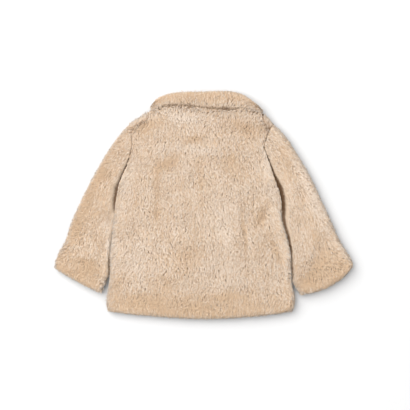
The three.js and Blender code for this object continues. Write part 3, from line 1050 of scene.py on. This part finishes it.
def plain_material(name, colour):
    """A plain matt finish for the stage."""
    shader = Shader(name)
    finish = {"Base Color": (*colour, 1.0), "Roughness": PLAIN_ROUGHNESS}
    bsdf = shader.node("ShaderNodeBsdfPrincipled", {}, finish)
    shader.node("ShaderNodeOutputMaterial", {}, {"Surface": bsdf})
    return shader.material


def deselect_all():
    """Leaves nothing selected, so that an operator acts on the new piece alone."""
    if bpy.context.object and bpy.context.object.mode != "OBJECT":
        bpy.ops.object.mode_set(mode="OBJECT")
    bpy.ops.object.select_all(action="DESELECT")


def cloth_piece(context, name, points, closed):
    """A thin sheet through rows of points in millimetres, its last column sewn to its first if closed."""
    cloth = context.scene.coat_cloth
    rows, columns = points.shape[:2]
    deselect_all()
    bpy.ops.mesh.primitive_grid_add(x_subdivisions=columns - 1, y_subdivisions=rows - 1, size=1.0)
    piece = context.object
    piece.name = name
    piece.data.name = name
    piece.data.vertices.foreach_set("co", (points * MM).ravel())
    bpy.ops.object.mode_set(mode="EDIT")
    bpy.ops.mesh.select_all(action="SELECT")
    if closed:
        bpy.ops.mesh.remove_doubles(threshold=MM / 100)
    bpy.ops.object.mode_set(mode="OBJECT")
    piece.data.update()
    turn_pile_side_out(piece)
    bpy.ops.object.modifier_add(type="SOLIDIFY")
    backing = piece.modifiers[-1]
    backing.thickness = cloth.thickness
    backing.offset = -1.0
    bpy.ops.object.modifier_apply(modifier=backing.name)
    bpy.ops.object.shade_smooth_by_angle(angle=SMOOTH_ANGLE)
    piece.data.materials.append(backing_material(context))
    return piece


def turn_pile_side_out(piece):
    """Turns the faces of a sheet round if its uppermost or lowest ones look inwards."""
    heights = [(face.center.z, face.normal.z) for face in piece.data.polygons]
    middle = FOLD_HEIGHT * MM
    outward = sum((height - middle) * facing for height, facing in heights)
    if outward < 0:
        bpy.ops.object.mode_set(mode="EDIT")
        bpy.ops.mesh.select_all(action="SELECT")
        bpy.ops.mesh.flip_normals()
        bpy.ops.object.mode_set(mode="OBJECT")


def clumps_over(pile, lattice, rng, first_row, last_row):
    """Clumps between two shares of a layer's length, and how each lies, stands and looks."""
    across, along = lattice.scattered(pile.clump_spacing / MM, rng)
    inside = (along >= first_row) & (along < last_row)
    across = across[inside]
    along = along[inside]
    count = len(across)
    place = lattice.read(lattice.tips, across, along)[:, :2]
    uneven = CLUMP_UNEVENNESS
    swirl = pile.swirl * (waves(place, BROAD_SWIRL) + waves(place, SMALL_SWIRL))
    angle = swirl + rng.normal(0, uneven.angle, count)
    lean = pile.lean / MM * (1 + waves(place, LEAN_WAVE) + rng.normal(0, uneven.lean, count))
    height = MEAN_HEIGHT + waves(place, HEIGHT_WAVE) + rng.normal(0, uneven.height, count)
    tone = MEAN_TONE + PATCH_SHARE * patch_tone(place) + waves(place, TONE_WAVE)
    tone = tone + CLUMP_CONTRAST * (-1) ** np.arange(count) + rng.normal(0, uneven.tone, count)
    return Clumps(across, along, angle, lean, height, tone)


def feet_of(pile, lattice, clumps, rng):
    """Where the tufts of each clump stand. Few are kept where the coat lies on them."""
    owner = np.repeat(np.arange(len(clumps.across)), pile.clump_tufts)
    spread = rng.normal(0, pile.clump_spread / MM, (len(owner), 2))
    width = lattice.width_at(clumps.along)[owner]
    across = mirrored(clumps.across[owner] + spread[:, 0] / width)
    along = mirrored(clumps.along[owner] + spread[:, 1] / lattice.length)
    feet = Feet(owner, spread, width, across, along)
    if lattice.layer.side > 0:
        return feet
    near_edge = lattice.read(lattice.open_share, across, along) < NEAR_EDGE_SHARE
    keep = near_edge | (rng.uniform(0, 1, len(owner)) < pile.hidden_share)
    return Feet(*(values[keep] for values in feet))


def toned(lattice, clumps, feet, rim, dip, rng):
    """The tone of each tuft, darkened near edges and seams as painted shade, and how much crevice shade it is
    painted with.
    """
    count = len(feet.owner)
    tone = clumps.tone[feet.owner] + rng.normal(0, TUFT_UNEVENNESS.tone, count)
    open_share = lattice.read(lattice.open_share, feet.across, feet.along)
    # Painted shade: where the pile rounds down to an edge or seam, the tone darkens.
    shade = EDGE_PAINTED_SHADE * (1 - open_share / np.maximum(dip, LEAST_DIP))
    tone = np.clip(tone - shade, LEAST_TONE, STRIP_ENDS[1])
    # Painted shade: many tufts near a free edge take the grey rim colour.
    tone = np.where(rng.uniform(0, 1, count) < RIM_SHARE * rim, STRIP_ENDS[0], tone)
    # Painted shade: the lower a tuft stands in a crevice, the more of the dark brown it takes.
    deep = np.clip((1 - dip) / DIP_DEPTH * (1 + rng.normal(0, CREVICE_SHADE_UNEVENNESS, count)), 0, 1)
    return tone, 1 - (1 - deep) ** 2


def grown(pile, lattice, clumps, feet, nap, rng):
    """The tufts on their feet. They lean with the nap, and out over the edges that are near."""
    owner, spread, width, across, along = feet
    count = len(owner)
    length = lattice.length
    uneven = TUFT_UNEVENNESS
    turned = clumps.angle[owner] + rng.normal(0, uneven.angle, count)
    distances = np.stack([across * width, (1 - across) * width, along * length, (1 - along) * length])
    lips = lattice.read(lattice.lips, across, along).T
    pulls = nearness_to_edges(distances, lips, EDGE_PULL_REACH)
    nearness = pulls.max(axis=0)
    left, right, start, end = EDGE_PULL * pulls
    reach = clumps.lean[owner] * (1 + rng.uniform(-1, 1, count) * (uneven.lean + EDGE_LEAN * nearness))
    way_across = np.sin(turned) + right - left
    way_along = nap * np.cos(turned) * (1 - pulls[2:].max(axis=0)) + end - start
    reach = reach / np.sqrt(way_across**2 + way_along**2 + LEAST_PULL)
    apart = (1 - pile.gather) * spread
    tip_across = clumps.across[owner] + (apart[:, 0] + reach * way_across) / width
    tip_along = clumps.along[owner] + (apart[:, 1] + reach * way_along) / length

    height = clumps.height[owner] + rng.normal(0, uneven.height, count)
    height = height + np.where(rng.uniform(0, 1, count) < STRAY_SHARE, STRAY_HEIGHT, 0.0)
    floor = lattice.read(lattice.cloth, tip_across, tip_along)
    crest = lattice.read(lattice.tips, tip_across, tip_along)
    inside = lattice.read(lattice.tips, mirrored(tip_across), mirrored(tip_along))
    past = rng.uniform(0, OVERHANG, (count, 1)) * (crest - inside)
    tips = floor + (crest - floor) * height[:, None] + past
    roots = lattice.read(lattice.cloth, across, along)
    normals = lattice.read(lattice.normals, across, along)
    lengths = np.linalg.norm(tips - roots, axis=1, keepdims=True)
    middles = roots + (tips - roots) * BEND_SHARE + normals * lengths * pile.arch

    # How near each tuft is to an edge, which sets its chance of the painted rim shade.
    rim = nearness_to_edges(distances, lips, RIM_REACH).max(axis=0)
    dip = lattice.read(lattice.dip, tip_across, tip_along)
    tone, deep = toned(lattice, clumps, feet, rim, dip, rng)
    half_width = pile.tuft_width / MM / 2 * rng.uniform(*WIDTH_RANGE, count)
    roll = rng.uniform(-1, 1, count) * (1 - EDGE_ROLL * nearness)
    return Tufts(roots, middles, tips, normals, half_width, roll, tone, deep)


def add_pile(context, name, layer, nap, seed, first_row=0.0, last_row=1.0):
    """The pile of a layer: clumps of tufts that lean with the nap. Its nap is 1 where it runs with v."""
    pile = context.scene.coat_pile
    rng = np.random.default_rng([pile.seed, seed])
    lattice = Lattice(layer, TUFT_LATTICE_STEP)
    clumps = clumps_over(pile, lattice, rng, first_row, last_row)
    feet = feet_of(pile, lattice, clumps, rng)
    return tuft_piece(context, name, grown(pile, lattice, clumps, feet, nap, rng))


def nearness_to_edges(distance, lip, reach):
    """How near places are to edges, 0 to 1, most where the pile rounds down to a low lip."""
    return (1 - lip**3) * (1 - smooth_step(distance / reach))


def tuft_corners(tufts):
    """Five corners for each tuft, in an order that makes its faces look the way it is lit."""
    run = unit(tufts.tips - tufts.roots)
    beside = unit(np.cross(run, tufts.normals))
    above = np.cross(beside, run)
    roll = tufts.roll[:, None]
    half = (beside * np.cos(roll) + above * np.sin(roll)) * tufts.half_width[:, None]
    bend = half * BEND_WIDTH_SHARE
    corners = [tufts.roots - half, tufts.roots + half, tufts.middles + bend, tufts.middles - bend, tufts.tips]
    points = np.stack(corners, axis=1)
    points[..., 2] = np.maximum(points[..., 2], 0)
    facing = np.cross(points[:, 1] - points[:, 0], points[:, 4] - points[:, 0])
    turned = np.sum(facing * lit_normals(tufts.normals), axis=1) < 0
    points[turned] = points[turned][:, [1, 0, 3, 2, 4]]
    return points, unit(np.where(turned[:, None], -1, 1) * facing)


def tuft_piece(context, name, tufts):
    """Joined tufts: each is a tapering blade of one square and one triangle, bent at its middle."""
    points, facing = tuft_corners(tufts)
    count = len(points)
    first = np.arange(count)[:, None]
    loops = np.array([0, 1, 2, 3, 3, 2, 4])
    mesh = bpy.data.meshes.new(name)
    mesh.vertices.add(5 * count)
    mesh.vertices.foreach_set("co", (points * MM).ravel())
    mesh.loops.add(len(loops) * count)
    mesh.loops.foreach_set("vertex_index", (5 * first + loops).ravel())
    mesh.polygons.add(2 * count)
    mesh.polygons.foreach_set("loop_start", (len(loops) * first + np.array([0, 4])).ravel())
    mesh.update(calc_edges=True)
    strip = mesh.uv_layers.new(name="OFBake")
    strip.uv.foreach_set("vector", strip_places(tufts).astype(np.float32).ravel())
    mesh.materials.append(pile_material(context))
    mesh.polygons.foreach_set("use_smooth", np.ones(2 * count, bool))
    outwards = np.sum(facing * tufts.normals, axis=1, keepdims=True)
    upright = facing + outwards * (np.array([0, 0, 1]) - tufts.normals)
    soft = unit(BLADE_FACING * upright + lit_normals(tufts.normals))
    mesh.normals_split_custom_set_from_vertices(np.repeat(soft, 5, axis=0))
    piece = bpy.data.objects.new(name, mesh)
    context.scene.collection.objects.link(piece)
    return piece


def strip_places(tufts):
    """The strip of colour of each tuft: its tone across, and up from its root to its tip; low in a crevice it
    turns dark brown, painted shade.
    """
    sideways = np.array([-1, 1, 1, -1, -1, 1, 0]) * STRIP_HALF
    upwards = np.array([0, 0, BEND_SHARE, BEND_SHARE, BEND_SHARE, BEND_SHARE, 1])
    low = OPEN_ROOT * (1 - tufts.deep) + STRIP_ENDS[0] * tufts.deep
    high = STRIP_ENDS[1] * (1 - tufts.deep) + CREVICE_SHADE_TIP * tufts.deep
    heights = low[:, None] + (high - low)[:, None] * upwards
    return np.stack([tufts.tone[:, None] + sideways, heights], axis=-1)


def lit_normals(normals):
    """The way the pile catches light: out from the coat, never down, and partly up as fibres scatter it."""
    outwards = normals * np.array([1, 1, 0]) + np.array([0, 0, 1]) * np.maximum(normals[:, 2:], 0)
    return unit(outwards + np.array([0, 0, SCATTER_UP]))


def plan_area(layer):
    """The flat area of a layer's panel in square metres."""
    shares = np.linspace(0, 1, FINE_STEPS + 1)
    place = layer.plan(shares[None, :], shares[:, None])
    across = np.diff(place, axis=1)[:-1]
    along = np.diff(place, axis=0)[:, :-1]
    cells = across[..., 0] * along[..., 1] - across[..., 1] * along[..., 0]
    return float(np.abs(cells.sum())) * MM * MM


def declare(cloth, pile, node, layers):
    """Rides a piece and its pile on the coat's body, hides the solid it stands for and works out the flat
    area of its layers.
    """
    for piece in (cloth, *pile):
        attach(piece, BODY)
    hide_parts(node)
    area = sum(plan_area(layer) for layer in layers)


class COAT_OT_back(bpy.types.Operator):
    """Adds the back panel and its pile"""

    bl_idname = "coat.back"
    bl_label = "Back"

    def execute(self, context):
        fit = fit_from(context)
        layer = back_layer(fit)
        points = layer.cloth(*evenly_spaced(layer.cloth, cloth_step(context))[:2])
        cloth = cloth_piece(context, "back_cloth", points, False)
        bands = ("low", "middle", "high")
        rows = [index / len(bands) for index in range(len(bands) + 1)]
        pile = [
            add_pile(context, f"back_pile_{band}", layer, -1, index, rows[index], rows[index + 1])
            for index, band in enumerate(bands)
        ]
        declare(cloth, pile, "back", [layer])
        return {"FINISHED"}


class COAT_OT_fronts(bpy.types.Operator):
    """Adds both front panels, which lie under the back, and their pile"""

    bl_idname = "coat.fronts"
    bl_label = "Fronts"

    def execute(self, context):
        fit = fit_from(context)
        for index, side in enumerate(("left", "right")):
            node = f"front_{side}"
            layer = front_layer(side, fit)
            points = layer.cloth(*evenly_spaced(layer.cloth, cloth_step(context))[:2])
            cloth = cloth_piece(context, f"{node}_cloth", points, False)
            pile = [add_pile(context, f"{node}_pile", layer, -1, FRONT_SEEDS + index)]
            declare(cloth, pile, node, [layer])
        return {"FINISHED"}


class COAT_OT_sleeves(bpy.types.Operator):
    """Adds both sleeves, flattened tubes with open cuffs, and their pile"""

    bl_idname = "coat.sleeves"
    bl_label = "Sleeves"

    def execute(self, context):
        fit = fit_from(context)
        for index, side in enumerate(("left", "right")):
            node = f"sleeve_{side}"
            upper, lower = sleeve_layers(side, fit)
            u, v, _, _ = evenly_spaced(upper.cloth, cloth_step(context))
            round_it = np.concatenate([upper.cloth(u, v), lower.cloth(u, v)[:, -2:0:-1]], axis=1)
            round_it = np.concatenate([round_it, round_it[:, :1]], axis=1)
            cloth = cloth_piece(context, f"{node}_cloth", round_it, True)
            pile = [
                add_pile(context, f"{node}_pile", upper, 1, SLEEVE_SEEDS + index),
                add_pile(context, f"{node}_under_pile", lower, 1, SLEEVE_UNDER_SEEDS + index),
            ]
            declare(cloth, pile, node, [upper, lower])
        return {"FINISHED"}


class COAT_OT_collar(bpy.types.Operator):
    """Adds the collar, a band that folds round both sides of the neck, and its pile"""

    bl_idname = "coat.collar"
    bl_label = "Collar"

    def execute(self, context):
        fit = fit_from(context)
        layers = collar_layers(fit)
        upper, left, right = layers
        u, v, _, _ = evenly_spaced(upper.cloth, COLLAR_STEP, COLLAR_COLUMNS)
        half = np.linspace(1, 0, COLLAR_COLUMNS // 2 + 1)
        halves = np.broadcast_to(half, (len(v), len(half)))
        rows = np.broadcast_to(v[:, :1], halves.shape)
        band = [left.cloth(halves, rows)[:, :-1], upper.cloth(u, v), right.cloth(halves, rows)[:, -2::-1]]
        cloth = cloth_piece(context, "collar_cloth", np.concatenate(band, axis=1), False)
        names = ("collar_pile", "collar_under_pile_left", "collar_under_pile_right")
        pile = [
            add_pile(context, name, layer, 1, COLLAR_SEEDS + index)
            for index, (name, layer) in enumerate(zip(names, layers))
        ]
        declare(cloth, pile, "collar", layers)
        return {"FINISHED"}


class COAT_OT_stage(bpy.types.Operator):
    """Adds the floor, the light and the camera"""

    bl_idname = "coat.stage"
    bl_label = "Stage"

    def execute(self, context):
        stage = context.scene.coat_stage
        deselect_all()
        bpy.ops.mesh.primitive_plane_add(size=stage.floor_size, location=(0, 0, CAD_BOX[0][2]))
        floor = context.object
        floor.name = "floor"
        floor.data.materials.append(plain_material("pale_floor", stage.floor_colour))

        world = bpy.data.worlds.new("pale_surroundings")
        context.scene.world = world
        world.use_nodes = True
        surroundings = world.node_tree.nodes["Background"]
        surroundings.inputs["Color"].default_value = (1.0, 1.0, 1.0, 1.0)
        surroundings.inputs["Strength"].default_value = stage.fill_strength

        bpy.ops.object.light_add(type="AREA", location=stage.key_place)
        key = context.object
        key.name = "key_light"
        key.data.energy = stage.key_power
        key.data.size = stage.key_size
        key.rotation_euler = (-key.location).to_track_quat("-Z", "Y").to_euler()

        bpy.ops.object.camera_add(location=(stage.frame_centre, 0, FOLD_HEIGHT * MM + stage.camera_height))
        camera = context.object
        camera.name = "camera"
        camera.rotation_euler = (0, 0, 0)
        camera.data.lens = camera.data.sensor_width * stage.camera_height / stage.frame_width
        context.scene.camera = camera
        context.scene.view_settings.view_transform = "Standard"
        return {"FINISHED"}


OPERATORS = (COAT_OT_back, COAT_OT_fronts, COAT_OT_sleeves, COAT_OT_collar, COAT_OT_stage)


class COAT_PT_panel(bpy.types.Panel):
    """Lists the pieces of the coat"""

    bl_idname = "COAT_PT_panel"
    bl_label = "Fur coat"
    bl_space_type = "VIEW_3D"
    bl_region_type = "UI"
    bl_category = "Fur coat"

    def draw(self, context):
        for operator in OPERATORS:
            self.layout.operator(operator.bl_idname)


SETTINGS = {
    "coat_pile": PileSettings,
    "coat_cloth": ClothSettings,
    "coat_colours": ColourSettings,
    "coat_stage": StageSettings,
}


def register():
    """Registers the settings, operators and panel."""
    for item in (*SETTINGS.values(), *OPERATORS, COAT_PT_panel):
        bpy.utils.register_class(item)
    for name, settings in SETTINGS.items():
        setattr(bpy.types.Scene, name, PointerProperty(type=settings))


def unregister():
    """Takes them away again."""
    for name in SETTINGS:
        delattr(bpy.types.Scene, name)
    for item in (COAT_PT_panel, *OPERATORS[::-1], *SETTINGS.values()):
        bpy.utils.unregister_class(item)


def main():
    """Builds the coat and its stage."""
    register()
    for operator in OPERATORS:
        group, name = operator.bl_idname.split(".")
        getattr(getattr(bpy.ops, group), name)()


if __name__ == "__main__":
    main()
